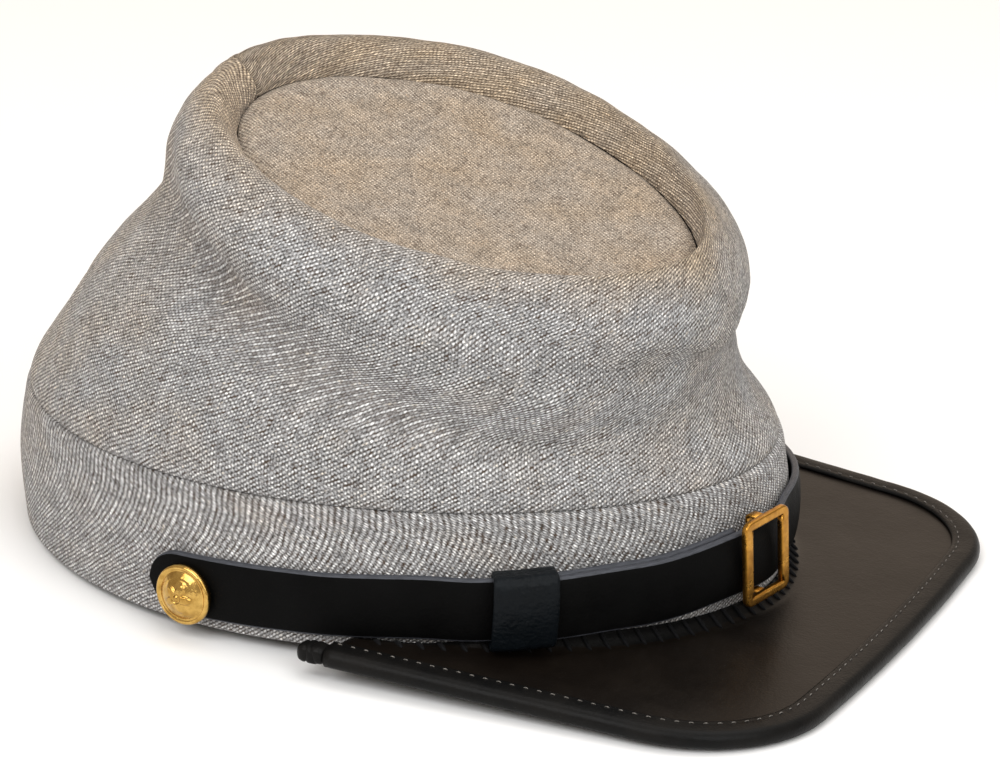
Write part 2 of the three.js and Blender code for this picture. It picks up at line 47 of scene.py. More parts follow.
# Columns: y, z, half length, half width, tilt forward, tilt to the right, power, egg.
LEVELS = np.array([
    [1.2, 0, 101.4, 84.9, 0, 0, 1.9, 0.05],
    [1.2, 18, 102.6, 85.4, 0.5, 0, 1.92, 0.05],
    [1.4, 35, 99.5, 82, 0.6, 0, 1.95, 0.05],
    [0.3, 49.5, 88.5, 80.5, 3.7, 0, 2, 0.04],
    [-4, 62, 81.6, 77.5, 8.8, 1, 2, 0.03],
    [-11, 74.5, 75.5, 67.8, 11.6, 3.3, 2, 0.02],
    [-14, 86.5, 75, 67, 13.3, 3.9, 2.12, 0.03],
    [-15, 95.5, 72.4, 62.7, 14, 5.4, 2, 0.02],
    [-14.5, 101, 66, 55, 13.8, 6.5, 1.88, 0.05],
    [-16.2, 97, 63, 50, 13.9, 6.8, 1.9, 0.07],
    [-16.6, 92.4, 61.4, 46.6, 14, 7, 1.9, 0.08],
])
BAND_TOP = 2
TIP_SEAM = len(LEVELS) - 1

# Folds: from heading, from level, to heading, to level, depth, width, lift.
FOLDS = [
    (140, 5.6, 46, 3.4, 3.6, 10, 2.4),
    (62, 6.3, 8, 4.8, 1.4, 8, 0.6),
    (112, 3.5, 88, 3.7, 1.1, 9, 0.3),
    (222, 5.4, 306, 3.9, 2.6, 10, 1.4),
    (198, 4.5, 164, 4.1, 1.2, 9, 0.4),
]
# Smaller creases that only the cloth has.
CREASES = [
    (128, 5.5, 70, 4.25, 0.9, 3.6, 0.5),
    (96, 5.9, 30, 4.7, 0.5, 4.0, 0.35),
    (70, 4.6, 22, 3.9, 0.4, 4.5, 0.3),
    (146, 4.4, 112, 3.7, 0.5, 5, 0.3),
    (20, 5.4, 2, 4.9, 0.9, 4, 0.5),
    (230, 5.0, 286, 4.1, 0.9, 4, 0.5),
    (262, 5.8, 330, 4.7, 0.5, 4.5, 0.3),
    (338, 5.3, 356, 4.7, 0.7, 4, 0.4),
]
# Where the weave opens into ribs and painted shade darkens the crease: a row like a fold's, with how far it
# opens as the depth.
PULLED_AND_SHADED_CLOTH = (150, 6.1, 62, 3.8, 0.85, 8, 0)
MM_PER_DEGREE = 1.35
MM_PER_LEVEL = 12.5
FOLD_FADE = 16
LIFT_AWAY = 1.6


def smoothstep(value, low, high):
    t = np.clip((np.asarray(value, float) - low) / (high - low), 0, 1)
    return t * t * (3 - 2 * t)


def ridge(distance, height, width):
    """A rounded ridge seen across, as high as height where distance is 0."""
    return height * np.exp(-((distance / width) ** 2))


def level_row(level):
    """Catmull-Rom interpolation of LEVELS."""
    first = np.minimum(np.floor(level).astype(int), len(LEVELS) - 2)
    t = (level - first)[..., None]
    a, b, c, d = (LEVELS[np.clip(first + k, 0, len(LEVELS) - 1)] for k in (-1, 0, 1, 2))
    linear = (c - a) * t
    square = (2 * a - 5 * b + 4 * c - d) * t**2
    cube = (3 * b - a - 3 * c + d) * t**3
    return b + (linear + square + cube) / 2


def fold_offset(heading, level, folds):
    total = np.zeros(np.shape(heading))
    for from_heading, from_level, to_heading, to_level, depth, width, lift in folds:
        across, up = to_heading - from_heading, to_level - from_level
        along = np.array([across * MM_PER_DEGREE, up * MM_PER_LEVEL])
        length = math.hypot(*along)
        middle = (from_heading + to_heading) / 2
        nearest = middle - 180 + (heading - middle + 180) % 360
        x = (nearest - from_heading) * MM_PER_DEGREE
        y = (level - from_level) * MM_PER_LEVEL
        run = (x * along[0] + y * along[1]) / length
        above = math.copysign(1, along[0]) * (along[0] * y - along[1] * x) / length
        past = np.maximum(np.maximum(-run, run - length), 0)
        fade = ridge(past, 1, min(FOLD_FADE, 2.5 * width))
        swell = ridge(above / width - LIFT_AWAY, lift, 1)
        total += fade * (swell - ridge(above, depth, width))
    return total


def signed_power(value, power):
    return np.sign(value) * np.abs(value) ** power


def cap_point(heading, level, folds=FOLDS):
    """Points of the cap's outer surface."""
    heading, level = np.broadcast_arrays(np.asarray(heading, float), np.asarray(level, float))
    y, z, length, width, forward, side, power, egg = np.moveaxis(level_row(level), -1, 0)
    angle = np.radians(270 - heading)
    fading = smoothstep(level, BAND_TOP, BAND_TOP + 1) * (1 - smoothstep(level, 7, 8))
    fold = fading * fold_offset(heading, level, folds)
    along = (length + fold) * signed_power(np.sin(angle), 2 / power)
    across = (width + fold) * signed_power(np.cos(angle), 2 / power) * (1 + egg * along / length)
    forward, side = np.radians(forward), np.radians(side)
    return np.stack([
        across * np.cos(side),
        y + along * np.cos(forward),
        z + along * np.sin(forward) + across * np.sin(side),
    ], -1)


def unit(vectors):
    return vectors / np.linalg.norm(vectors, axis=-1, keepdims=True)


def cap_offset(heading, level, distance, folds=FOLDS):
    """Points of the cap moved out along its normal, which is level on the band."""
    heading, level = np.broadcast_arrays(np.asarray(heading, float), np.asarray(level, float))
    step = 0.02
    high = cap_point(heading, np.minimum(level + step, TIP_SEAM), folds)
    low = cap_point(heading, np.maximum(level - step, 0), folds)
    ahead = cap_point(heading + step, level, folds)
    behind = cap_point(heading - step, level, folds)
    out = unit(np.cross(high - low, ahead - behind))
    out[..., 2] *= smoothstep(level, BAND_TOP, BAND_TOP + 1)
    return cap_point(heading, level, folds) + unit(out) * np.asarray(distance, float)[..., None]


def to_frame(points):
    """Millimetres of the level cap to metres of the frame, where the cap lies at rest."""
    x, y, z = np.moveaxis(np.asarray(points, float), -1, 0)
    sine, cosine = math.sin(REST_TILT), math.cos(REST_TILT)
    turned = np.stack([x, y * cosine + z * sine, z * cosine - y * sine], -1)
    return (turned + REST_SHIFT) / 1000


def bumpy(points, size, seed):
    """Smooth noise in -1..1 at points, with lumps of about size millimetres."""
    flat = np.asarray(points, float).reshape(-1, 3) / size + seed * 7.31
    values = np.array([noise.noise(p) for p in flat.tolist()])
    return values.reshape(np.shape(points)[:-1])


def grid_normals(grid):
    """Outward normals of a grid whose row direction times column direction points out."""
    return unit(np.cross(np.gradient(grid, axis=0), np.gradient(grid, axis=1)))


# ---- meshes


def make_piece(name, points, groups, node, materials):
    """A mesh object riding on the root. A group is (faces, corner uvs or None, material number)."""
    faces = [f for f, _, _ in groups]
    sizes = np.concatenate([np.full(len(f), f.shape[1]) for f in faces])
    loops = np.concatenate([f.reshape(-1) for f in faces]).astype(np.int32)
    starts = np.concatenate([[0], np.cumsum(sizes)[:-1]]).astype(np.int32)
    mesh = bpy.data.meshes.new(name)
    mesh.vertices.add(len(points))
    mesh.vertices.foreach_set("co", to_frame(points).astype(np.float32).reshape(-1))
    mesh.loops.add(len(loops))
    mesh.loops.foreach_set("vertex_index", loops)
    mesh.polygons.add(len(sizes))
    mesh.polygons.foreach_set("loop_start", starts)
    mesh.polygons.foreach_set("loop_total", sizes.astype(np.int32))
    numbers = np.concatenate([np.full(len(f), number) for f, _, number in groups])
    mesh.polygons.foreach_set("material_index", numbers.astype(np.int32))
    mesh.polygons.foreach_set("use_smooth", np.ones(len(sizes), bool))
    layer = mesh.uv_layers.new(name="weave")
    corners = [
        np.zeros((f.size, 2)) if uv is None else np.asarray(uv, float).reshape(-1, 2)
        for f, uv, _ in groups
    ]
    layer.data.foreach_set("uv", np.concatenate(corners).astype(np.float32).reshape(-1))
    mesh.update(calc_edges=True)
    if signed_volume(points, faces) < 0:
        mesh.flip_normals()
    mesh.validate()
    for material in materials:
        mesh.materials.append(material)
    piece = bpy.data.objects.new(name, mesh)
    bpy.context.scene.collection.objects.link(piece)
    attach(piece, "root")
    if node:
        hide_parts(node)
    return piece


def signed_volume(points, faces):
    points = np.asarray(points, float)
    total = 0.0
    for group in faces:
        first = points[group[:, 0]]
        for k in range(1, group.shape[1] - 1):
            total += np.sum(first * np.cross(points[group[:, k]], points[group[:, k + 1]]))
    return total


def quads(rows, columns, width):
    """Corner numbers of the cells of a grid, and the same where the columns don't wrap."""
    i, j = np.meshgrid(np.arange(rows), np.arange(columns), indexing="ij")
    i, j = i.reshape(-1), j.reshape(-1)
    here, beside = i * width + j % width, i * width + (j + 1) % width
    wrapped = np.stack([here, here + width, beside + width, beside], -1)
    wide = columns + 1
    start = i * wide + j
    return wrapped, np.stack([start, start + wide, start + wide + 1, start + 1], -1)


def shell(name, outer, inner, uv, node, materials, closed=False):
    """A wall between two grids of points. uv is the outer grid's, with one column more if closed.
    Inner faces take the last material."""
    rows, width = outer.shape[0] - 1, outer.shape[1]
    columns = width if closed else width - 1
    count = outer.shape[0] * width
    cells, plain = quads(rows, columns, width)
    flat_uv = uv.reshape(-1, 2)
    last = len(materials) - 1
    groups = [
        (cells, flat_uv[plain], 0),
        (cells[:, ::-1] + count, flat_uv[plain[:, ::-1]], last),
    ]
    j = np.arange(columns)
    after = (j + 1) % width
    wide = columns + 1
    for row, turn in ((0, 1), (rows, -1)):
        here, beside = row * width + j, row * width + after
        rim = np.stack([here, beside, beside + count, here + count], -1)
        start = row * wide + j
        edge = flat_uv[np.stack([start, start + 1, start + 1, start], -1)]
        groups.append((rim[:, ::turn], edge[:, ::turn], 0))
    if not closed:
        i = np.arange(rows)
        for column, turn in ((0, 1), (columns, -1)):
            a, b = i * width + column, (i + 1) * width + column
            rim = np.stack([a, a + count, b + count, b], -1)
            groups.append((rim[:, ::turn], flat_uv[rim % count][:, ::turn], 0))
    points = np.concatenate([outer.reshape(-1, 3), inner.reshape(-1, 3)])
    return make_piece(name, points, groups, node, materials)


def tube(name, rings, node, materials, closed=False, number=None):
    """A skin over rings of points, which joins the last ring to the first if closed. number gives
    a material number for each point of a ring."""
    stations, around = rings.shape[:2]
    rows = stations if closed else stations - 1
    i, j = np.meshgrid(np.arange(rows), np.arange(around), indexing="ij")
    i, j = i.reshape(-1), j.reshape(-1)
    ahead, beside = (i + 1) % stations, (j + 1) % around
    cells = np.stack([i * around + j, ahead * around + j, ahead * around + beside, i * around + beside], -1)
    centre = rings.mean(1)
    steps = np.linalg.norm(np.diff(centre, axis=0), axis=-1)
    along = np.concatenate([[0], np.cumsum(steps), [steps.sum() + steps[-1]]])
    middle = rings[stations // 2]
    sides = np.linalg.norm(np.diff(np.concatenate([middle, middle[:1]]), axis=0), axis=-1)
    across = np.concatenate([[0], np.cumsum(sides)])
    uv = np.stack([
        np.stack([along[i], across[j]], -1), np.stack([along[i + 1], across[j]], -1),
        np.stack([along[i + 1], across[j + 1]], -1), np.stack([along[i], across[j + 1]], -1),
    ], 1)
    kinds = np.zeros(len(cells), int) if number is None else np.asarray(number)[j]
    groups = [(cells[kinds == kind], uv[kinds == kind], kind) for kind in sorted(set(kinds))]
    if not closed:
        groups.append((np.arange(around)[None, :], None, max(kinds)))
        groups.append(((stations - 1) * around + np.arange(around)[None, ::-1], None, max(kinds)))
    return make_piece(name, rings.reshape(-1, 3), groups, node, materials)


def capsules(name, paths, radius, material, around=6):
    """Short threads: each path is a row of points, thick in its middle and thin at its ends."""
    points, faces = [], []
    angles = np.arange(around) * 2 * math.pi / around
    for path in paths:
        path = np.asarray(path, float)
        tangent = unit(np.gradient(path, axis=0))
        side = unit(np.cross(tangent, [0.13, 0.21, 0.97]))
        other = np.cross(tangent, side)
        share = np.linspace(-1, 1, len(path))
        thick = radius * np.sqrt(np.clip(1 - np.abs(share) ** 3, 0.04, 1))
        ring = side[:, None] * np.cos(angles)[None, :, None]
        ring = ring + other[:, None] * np.sin(angles)[None, :, None]
        ring = path[:, None] + ring * thick[:, None, None]
        start = sum(len(p) for p in points)
        points.append(ring.reshape(-1, 3))
        cells, _ = quads(len(path) - 1, around, around)
        faces.append((cells[:, ::-1] + start, None, 0))
        faces.append((start + np.arange(around)[None, ::-1], None, 0))
        faces.append((start + (len(path) - 1) * around + np.arange(around)[None, :], None, 0))
    return make_piece(name, np.concatenate(points), faces, None, [material])


def round_rectangle(width, height, radius, per_corner=5, per_side=(6, 6)):
    """Points and outward normals of a rectangle with round corners, anticlockwise."""
    points, normals = [], []
    x, y = width / 2 - radius, height / 2 - radius
    level, upright = per_side
    corners = [(x, -y, -90, upright), (x, y, 0, level), (-x, y, 90, upright), (-x, -y, 180, level)]
    for k, (cx, cy, start, along) in enumerate(corners):
        for angle in np.radians(np.linspace(start, start + 90, per_corner)):
            out = (math.cos(angle), math.sin(angle))
            points.append((cx + radius * out[0], cy + radius * out[1]))
            normals.append(out)
        nx, ny = corners[(k + 1) % 4][:2]
        tip = points[-1]
        end = (nx + radius * normals[-1][0], ny + radius * normals[-1][1])
        for share in np.linspace(0, 1, along + 1)[1:-1]:
            points.append((tip[0] + (end[0] - tip[0]) * share, tip[1] + (end[1] - tip[1]) * share))
            normals.append(normals[-1])
    return np.array(points), np.array(normals)


# ---- materials


class Shader:
    """A Principled material and short ways to add nodes to it."""

    def __init__(self, name, **constants):
        self.material = bpy.data.materials.new(name)
        self.material.use_nodes = True
        self.tree = self.material.node_tree
        self.surface = self.tree.nodes["Principled BSDF"]
        for socket, value in constants.items():
            self.surface.inputs[socket.replace("_", " ")].default_value = value

    def node(self, kind, values=(), **settings):
        made = self.tree.nodes.new("ShaderNode" + kind)
        for key, value in settings.items():
            setattr(made, key, value)
        for key, value in dict(values).items():
            self.feed(made.inputs[key], value)
        return made

    def feed(self, socket, value):
        if isinstance(value, bpy.types.NodeSocket):
            self.tree.links.new(value, socket)
        else:
            socket.default_value = value

    def math(self, operation, *values, clamp=False):
        made = self.node("Math", operation=operation, use_clamp=clamp)
        for socket, value in zip(made.inputs, values):
            self.feed(socket, value)
        return made.outputs[0]

    def vector(self, operation, *values):
        made = self.node("VectorMath", operation=operation)
        for socket, value in zip(made.inputs, values):
            self.feed(socket, value)
        return made.outputs[0]

    def mix(self, factor, first, second, blend="MIX"):
        made = self.node("Mix", data_type="RGBA", blend_type=blend)
        for key, value in ((0, factor), (6, first), (7, second)):
            self.feed(made.inputs[key], value)
        return made.outputs[2]

    def noise(self, vector, scale, detail=2.0, roughness=0.5, output=0):
        values = {"Vector": vector, "Scale": scale, "Detail": detail, "Roughness": roughness}
        return self.node("TexNoise", values).outputs[output]

    def stretched(self, vector, scale):
        return self.node("Mapping", {"Vector": vector, "Scale": scale}).outputs[0]

    def spread(self, value, low, high, to_low=0.0, to_high=1.0):
        made = self.node("MapRange", {1: low, 2: high, 3: to_low, 4: to_high})
        self.feed(made.inputs[0], value)
        return made.outputs[0]

    def bump(self, height, distance, strength=1.0, under=None):
        made = self.node("Bump", {"Height": height, "Distance": distance, "Strength": strength})
        if under is not None:
            self.feed(made.inputs["Normal"], under)
        return made.outputs[0]

    def millimetres(self):
        """The piece's own coordinates in millimetres."""
        return self.vector("MULTIPLY", self.node("TexCoord").outputs["Object"], (1000, 1000, 1000))

    def set(self, socket, value):
        self.feed(self.surface.inputs[socket], value)


def grey(value, warm=0.0):
    return (value * (1 + warm), value, value * (1 - warm), 1.0)


TAN = (1.12, 0.9, 0.65, 1.0)


def cloth_material(name, angle, row_pitch, dot_pitch, light, dark, contrast_fall):
    """Salt-and-pepper twill: rows of pale floats over darker yarn, from the weave map in mm."""
    s = Shader(name, Roughness=0.92, Sheen_Weight=0.12, Sheen_Roughness=0.5, Specular_IOR_Level=0.15)
    flat = s.node("UVMap", uv_map="weave").outputs[0]
    wander = s.vector("SUBTRACT", s.noise(flat, 0.09, 2.0, output=1), (0.5, 0.5, 0.5))
    jitter = s.vector("SUBTRACT", s.noise(flat, 0.8, 1.0, output=1), (0.5, 0.5, 0.5))
    moved = s.vector("ADD", flat, s.vector("MULTIPLY", wander, (1.8, 1.8, 0)))
    moved = s.vector("ADD", moved, s.vector("MULTIPLY", jitter, (0.42, 0.42, 0)))
    turn = {"Vector": moved, "Angle": -math.radians(angle)}
    turned = s.node("VectorRotate", turn, rotation_type="Z_AXIS")
    split = s.node("SeparateXYZ", {0: turned.outputs[0]})
    across = s.math("DIVIDE", split.outputs[1], row_pitch)
    row = s.math("FLOOR", across)
    along = s.math("ADD", s.math("DIVIDE", split.outputs[0], dot_pitch), s.math("MULTIPLY", row, 0.43))
    cell = s.math("FLOOR", along)
    x = s.math("SUBTRACT", s.math("FRACT", along), 0.5)
    y = s.math("SUBTRACT", s.math("FRACT", across), 0.5)
    # Where the cloth is pulled, floats run together into wide ribs with every other row sunk; there the
    # dark yarns also turn brown as painted shade.
    pulled_and_painted_shade = s.node("Attribute", attribute_name="pulled_and_painted_shade").outputs["Fac"]
    slim_x = s.math("MULTIPLY", x, s.spread(pulled_and_painted_shade, 0.0, 1.0, 1.85, 1.3))
    slim_y = s.math("MULTIPLY", y, s.spread(pulled_and_painted_shade, 0.0, 1.0, 2.55, 1.75))
    squares = s.math("ADD", s.math("MULTIPLY", slim_x, slim_x), s.math("MULTIPLY", slim_y, slim_y))
    reach = s.math("SQRT", squares)
    sunk = s.math("MULTIPLY", pulled_and_painted_shade, s.math("PINGPONG", row, 1.0))
    key = s.node("CombineXYZ", {0: cell, 1: row})
    chance = s.node("TexWhiteNoise", {"Vector": key.outputs[0]}, noise_dimensions="2D")
    blob = s.spread(reach, 1.05, 0.3)
    # Yarns differ in shade: each warp and weft thread is a long thin streak.
    warp = s.noise(s.stretched(flat, (1.05, 0.07, 1.0)), 1.0, 3.0, 0.6)
    weft = s.noise(s.stretched(flat, (0.06, 1.15, 1.0)), 1.0, 3.0, 0.6)
    streak = s.math("ADD", warp, weft)
    patch = s.noise(flat, 0.16, 3.0, 0.6)
    fleck = s.noise(flat, 0.42, 4.0, 0.75)
    grit = s.noise(flat, 1.9, 2.0, 0.6)
    # This painted number mixes the cloth's own tan tone with painted shade on the side of the crown away
    # from the lights.
    tint_and_shade = s.node("Attribute", attribute_name="tint_and_shade").outputs["Fac"]
    pale = s.mix(chance.outputs[0], light[0], light[1])
    pale = s.mix(s.spread(fleck, 0.55, 0.68), pale, light[2])
    deep = s.mix(s.spread(grit, 0.36, 0.62), dark[0], dark[1])
    deep = s.mix(s.spread(fleck, 0.5, 0.38), deep, dark[2])
    # Painted shade: along the pulled crease the dark yarns turn dark brown.
    deep = s.mix(s.math("MULTIPLY", pulled_and_painted_shade, 0.65), deep, dark[2])
    share = s.math("MULTIPLY", blob, s.spread(chance.outputs[0], 0.0, 1.0, 0.4, 1.0))
    share = s.math("MULTIPLY", share, s.spread(sunk, 0.0, 1.0, 1.0, 0.25))
    middle = s.mix(s.spread(grit, 0.3, 0.7, 0.3, 0.6), deep, pale)
    woven = s.mix(share, deep, pale)
    woven = s.mix(s.math("MULTIPLY", tint_and_shade, contrast_fall, clamp=True), woven, middle)
    shade = s.math("ADD", s.math("MULTIPLY", streak, 0.6), s.math("MULTIPLY", patch, 0.7))
    shade = s.math("ADD", s.spread(shade, 0.65, 1.25, 0.6, 1.34), s.spread(grit, 0.28, 0.72, -0.34, 0.34))
    tone = s.node("CombineColor", {0: shade, 1: shade, 2: shade})
    woven = s.mix(1.0, woven, tone.outputs[0], "MULTIPLY")
    drift = s.noise(flat, 0.05, 2.0)
    tint = s.math("ADD", tint_and_shade, s.spread(drift, 0.35, 0.7, -0.2, 0.15), clamp=True)
    woven = s.mix(tint, woven, s.mix(1.0, woven, TAN, "MULTIPLY"))
    s.set("Base Color", woven)
    fuzz = s.bump(s.noise(flat, 2.6, 3.0, 0.6), 0.00016)
    s.set("Normal", s.bump(share, 0.00042, 1.0, fuzz))
    return s.material


def lining_material():
    """Plain-woven brown-grey cotton for the inside."""
    s = Shader("lining", Roughness=0.95, Specular_IOR_Level=0.1)
    flat = s.node("UVMap", uv_map="weave").outputs[0]
    split = s.node("SeparateXYZ", {0: flat})
    warp = s.math("SINE", s.math("MULTIPLY", split.outputs[0], 8.0))
    weft = s.math("SINE", s.math("MULTIPLY", split.outputs[1], 8.0))
    check = s.spread(s.math("MULTIPLY", warp, weft), -1.0, 1.0)
    uneven = s.noise(flat, 0.4, 3.0)
    share = s.math("MULTIPLY", check, uneven)
    s.set("Base Color", s.mix(share, (0.12, 0.1, 0.085, 1), (0.3, 0.27, 0.235, 1)))
    s.set("Normal", s.bump(check, 0.0002))
    return s.material


def leather_material(name, base, worn, roughness, grain, depth, specular):
    """Black leather with a pebbled grain, faint wrinkles and uneven polish."""
    s = Shader(name, Specular_IOR_Level=specular)
    place = s.millimetres()
    cells = s.node("TexVoronoi", {"Vector": place, "Scale": grain}, feature="SMOOTH_F1")
    pebble = cells.outputs["Distance"]
    fine = s.noise(place, grain * 1.7, 3.0, 0.6)
    wide = s.noise(place, 0.09, 3.0, 0.55)
    wrinkle = s.noise(place, 0.45, 4.0, 0.65)
    s.set("Base Color", s.mix(s.spread(wide, 0.38, 0.68), base, worn))
    low, high = roughness
    polish = s.math("ADD", wide, s.math("MULTIPLY", fine, 0.35))
    s.set("Roughness", s.spread(polish, 0.45, 0.85, low, high))
    height = s.math("ADD", s.math("MULTIPLY", pebble, 0.7), s.math("MULTIPLY", fine, 0.5))
    s.set("Normal", s.bump(height, depth, 1.0, s.bump(wrinkle, depth * 1.6)))
    return s.material


def edge_material(name, first, second):
    """The strap's burnished cut edge, fibrous, with a paler blue-grey that is partly its own colour and
    partly a painted highlight.
    """
    s = Shader(name, Roughness=0.5, Specular_IOR_Level=0.35)
    flat = s.node("UVMap", uv_map="weave").outputs[0]
    fibres = s.noise(s.stretched(flat, (0.35, 3.0, 1.0)), 1.0, 4.0, 0.65)
    s.set("Base Color", s.mix(s.spread(fibres, 0.3, 0.7), first, second))
    s.set("Normal", s.bump(fibres, 0.0002))
    return s.material


def brass_material(name, roughness, bright, dull):
    """Polished brass with faint scratches, and tarnish where it is less rubbed."""
    s = Shader(name, Metallic=1.0)
    place = s.millimetres()
    cloud = s.noise(place, 0.35, 4.0, 0.6)
    scratch = s.noise(s.stretched(place, (4.0, 0.5, 0.8)), 1.0, 3.0, 0.6)
    s.set("Base Color", s.mix(s.spread(cloud, 0.38, 0.68), bright, dull))
    low, high = roughness
    wear = s.math("ADD", cloud, s.math("MULTIPLY", scratch, 0.4))
    s.set("Roughness", s.spread(wear, 0.5, 0.95, low, high))
    s.set("Normal", s.bump(scratch, 0.00005, 0.6, s.bump(cloud, 0.0001)))
    return s.material


def thread_material(name, first, second):
    s = Shader(name, Roughness=0.7, Sheen_Weight=0.03, Specular_IOR_Level=0.12)
    place = s.millimetres()
    twist = s.noise(place, 3.2, 2.0, 0.5)
    s.set("Base Color", s.mix(s.spread(twist, 0.35, 0.65), first, second))
    s.set("Normal", s.bump(twist, 0.0001))
    return s.material


PALE_YARNS = [(0.72, 0.735, 0.765, 1), (1.0, 1.0, 1.0, 1), (0.8, 0.71, 0.6, 1)]
DARK_YARNS = [(0.055, 0.052, 0.05, 1), (0.28, 0.275, 0.275, 1), (0.06, 0.04, 0.027, 1)]
TIP_PALE_YARNS = [(0.62, 0.6, 0.57, 1), (0.9, 0.88, 0.85, 1), (0.66, 0.55, 0.44, 1)]
TIP_DARK_YARNS = [(0.1, 0.085, 0.075, 1), (0.32, 0.295, 0.27, 1), (0.07, 0.045, 0.03, 1)]

# Angle of the rows in degrees, then their pitch and the floats' along them in mm.
CROWN_CLOTH = cloth_material("crown_twill", 31, 1.06, 0.86, PALE_YARNS, DARK_YARNS, 0.04)
BAND_CLOTH = cloth_material("band_twill", 42, 1.08, 0.86, PALE_YARNS, DARK_YARNS, 0.04)
TIP_CLOTH = cloth_material("tip_twill", 64, 0.95, 0.8, TIP_PALE_YARNS, TIP_DARK_YARNS, 0.3)
LINING = lining_material()
VISOR_LEATHER = leather_material(
    "visor_leather", (0.0055, 0.004, 0.003, 1), (0.0085, 0.0062, 0.0045, 1),
    roughness=(0.31, 0.39), grain=1.6, depth=0.00003, specular=0.13)
BINDING_LEATHER = leather_material(
    "binding_leather", grey(0.004), grey(0.007, 0.1),
    roughness=(0.32, 0.46), grain=1.9, depth=0.00006, specular=0.1)
STRAP_LEATHER = leather_material(
    "strap_leather", grey(0.002), grey(0.003),
    roughness=(0.42, 0.6), grain=1.8, depth=0.00007, specular=0.045)
KEEPER_LEATHER = leather_material(
    "keeper_leather", grey(0.003, -0.4), grey(0.0055, -0.35),
    roughness=(0.3, 0.45), grain=1.3, depth=0.00016, specular=0.12)
# Painted highlight: the edges' pale blue-grey partly stands in for the light they catch.
STRAP_EDGE_AND_HIGHLIGHT = edge_material("strap_edge_and_highlight", (0.02, 0.022, 0.028, 1), (0.065, 0.07, 0.085, 1))
BRASS = brass_material("buckle_brass", (0.24, 0.38), (0.52, 0.26, 0.045, 1), (0.34, 0.155, 0.025, 1))
BUTTON_BRASS = brass_material("button_brass", (0.16, 0.28), (0.66, 0.42, 0.12, 1), (0.38, 0.21, 0.045, 1))
PALE_THREAD = thread_material("pale_thread", (0.06, 0.055, 0.05, 1), (0.26, 0.24, 0.22, 1))
BLACK_THREAD = thread_material("black_thread", (0.002, 0.002, 0.0025, 1), (0.006, 0.006, 0.007, 1))

# ---- cloth pieces


def arc_lengths(grid, axis):
    steps = np.linalg.norm(np.diff(grid, axis=axis), axis=-1)
    start = np.zeros_like(np.take(steps, [0], axis=axis))
    return np.cumsum(np.concatenate([start, steps], axis=axis), axis=axis)


def paint(piece, name, values):
    """Stores one number a vertex for the cloth's shader. The inner grid takes the outer's values."""
    layer = piece.data.attributes.new(name, "FLOAT", "POINT")
    layer.data.foreach_set("value", np.resize(np.asarray(values, np.float32), len(layer.data)))


SEAM_GROOVE = 0.9
HEM_GROOVE = 0.7
HEM_DIP = 3.1
MM_PER_RIM_LEVEL = 5.0


def crown_half(name, node, start, end):
    columns, rows = 250, 120
    seam = 0.02
    headings = np.linspace(start + seam, end - seam, columns + 1)
    levels = np.linspace(BAND_TOP + GAP / MM_PER_LEVEL, TIP_SEAM, rows + 1)
    heading, level = np.meshgrid(headings, levels)
    plain = cap_point(heading, level, [])
    base = cap_point(heading, level)
    outer = cap_point(heading, level, FOLDS + CREASES)
    normal = grid_normals(outer)
    to_back = np.abs(heading - 180) * MM_PER_DEGREE
    from_front = np.minimum(heading, 360 - heading) * MM_PER_DEGREE
    calm = smoothstep(level, 2.1, 3) * smoothstep(from_front, 0, 12)
    detail = 0.6 * bumpy(base, 17, 1) * calm + 0.25 * bumpy(base, 6.5, 2) * calm
    detail += ridge(to_back - 2.6, 0.3, 1.6) - ridge(to_back, 0.7, SEAM_GROOVE)
    from_band = (level - BAND_TOP) * MM_PER_LEVEL
    detail += ridge(from_band - 4.0, 0.35, 3.0) - ridge(from_band, 0.5, HEM_GROOVE)
    to_tip = (TIP_SEAM - level) * MM_PER_RIM_LEVEL
    detail -= ridge(to_tip, 0.7, 1.5)
    outer = outer + normal * detail[..., None]
    inner = cap_offset(heading, level, np.full(heading.shape, -CLOTH))
    run = arc_lengths(plain, 1)
    # The weave runs level at the middle of the right side and on without a break round the front.
    if start == 0:
        across = run[:, columns // 2][:, None] - run
    else:
        across = run[:, columns // 2][:, None] + run[:, -1:] - run
    uv = np.stack([across, arc_lengths(plain, 0)], -1)
    piece = shell(name, outer, inner, uv, node, [CROWN_CLOTH, LINING])
    near_ends = ridge(from_front, 0.2, 38 * MM_PER_DEGREE) + ridge(to_back, 0.5, 56 * MM_PER_DEGREE)
    # Tan tint on the upper crown: partly the cloth's own browner tone, partly painted shade, as the tint is
    # weaker on the right side, which faces the key and fill lights.
    shaded = 1 - 0.6 * np.maximum(np.sin(np.radians(heading)), 0) ** 2
    tint_and_shade = np.clip(shaded * smoothstep(level, 6.6, 8.4) + near_ends, 0, 1)
    paint(piece, "tint_and_shade", tint_and_shade)
    pulled_and_painted_shade = -fold_offset(heading, level, [PULLED_AND_SHADED_CLOTH]) + 0.5 * smoothstep(level, 7.9, 8.7)
    paint(piece, "pulled_and_painted_shade", np.clip(pulled_and_painted_shade, 0, 1))


